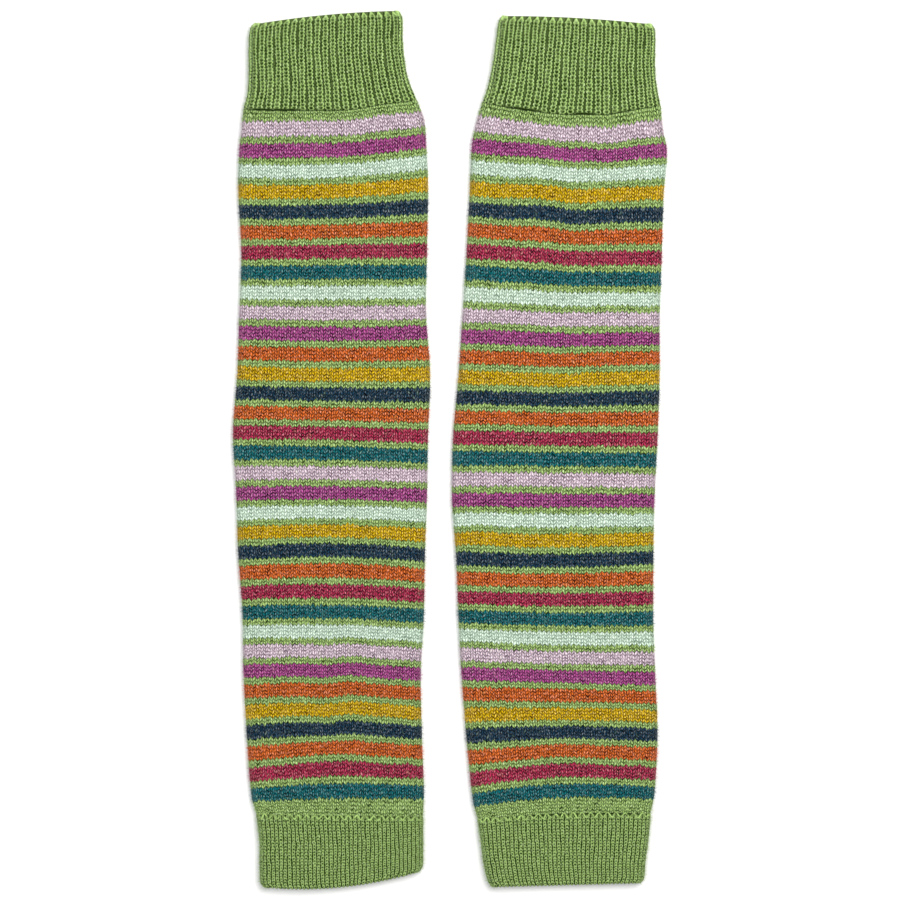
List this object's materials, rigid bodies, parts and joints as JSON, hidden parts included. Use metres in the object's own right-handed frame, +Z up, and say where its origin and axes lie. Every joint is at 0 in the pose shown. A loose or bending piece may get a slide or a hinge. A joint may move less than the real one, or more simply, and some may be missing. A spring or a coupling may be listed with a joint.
{
  "type": "pair of leg warmers",
  "caption": "Knitted tubular leg warmers with ribbed top cuffs, a striped leg and fine bottom cuffs, laid flat side by side",
  "frame": {"origin": "middle of the pair's box, at the height of the surface that the pair lies on", "axes": "+Y runs from the bottom cuffs to the ribbed top cuffs, +X across the pair from the left leg warmer to the right one, +Z up out of the surface"},
  "size_m": [0.209, 0.4209, 0.007],
  "materials": {
    "green_rib_knit": "ribbed wool-blend knit in leaf green, matt and slightly fuzzy",
    "striped_plain_knit": "plain wool-blend knit in many-coloured stripes on leaf green, matt and slightly fuzzy",
    "green_cuff_knit": "fine dense wool-blend cuff knit in leaf green, matt and slightly fuzzy"
  },
  "bodies": {
    "root": {"left_top_cuff": "green_rib_knit", "left_leg": "striped_plain_knit", "left_bottom_cuff": "green_cuff_knit", "right_top_cuff": "green_rib_knit", "right_leg": "striped_plain_knit", "right_bottom_cuff": "green_cuff_knit"}
  },
  "joints": []
}
